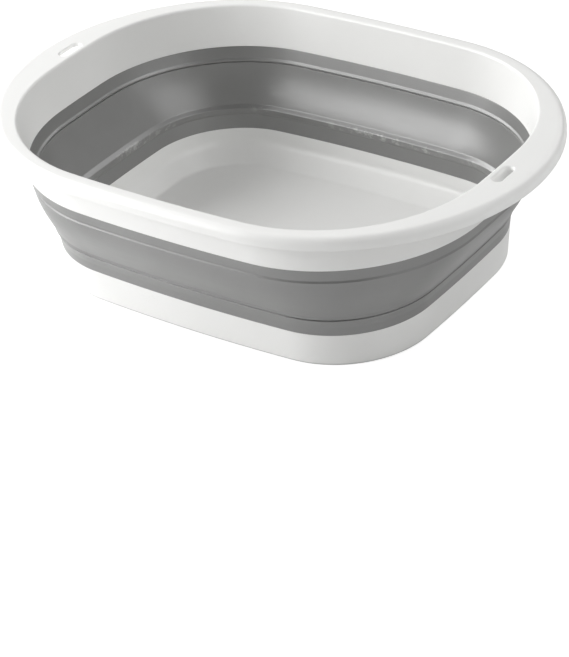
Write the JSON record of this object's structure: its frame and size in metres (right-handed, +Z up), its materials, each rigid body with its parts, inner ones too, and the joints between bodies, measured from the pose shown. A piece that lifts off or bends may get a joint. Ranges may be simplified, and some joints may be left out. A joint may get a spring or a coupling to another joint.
{
  "type": "washing up bowl",
  "caption": "Collapsible oblong washing-up bowl: rigid white rim with handles and hang slots, grey folding sleeve and rigid white tub.",
  "frame": {"origin": "middle of the face that the tub stands on", "axes": "+Z up, +X along the bowl towards one handle, +Y across it"},
  "size_m": [0.3816, 0.277, 0.1081],
  "materials": {
    "white_plastic": "moulded polypropylene, smooth satin gloss",
    "grey_elastomer": "moulded thermoplastic elastomer, soft satin"
  },
  "bodies": {
    "base": {"base_tub": "white_plastic", "lower_band": "grey_elastomer"},
    "sleeve": {"middle_band": "grey_elastomer"},
    "rim": {"rim": "white_plastic", "upper_band": "grey_elastomer"}
  },
  "joints": [
    {"name": "collapse", "type": "slide", "parent": "base", "child": "rim", "axis": [0, 0, -1], "range_m": [0, 0.065], "deforming": ["middle_band"]},
    {"name": "sleeve_turn", "type": "slide", "parent": "base", "child": "sleeve", "axis": [0, 0, -1], "range_m": [0, 0.0325]}
  ],
  "couplings": [
    {"joint": "sleeve_turn", "follows": "collapse", "ratio": 0.5}
  ]
}
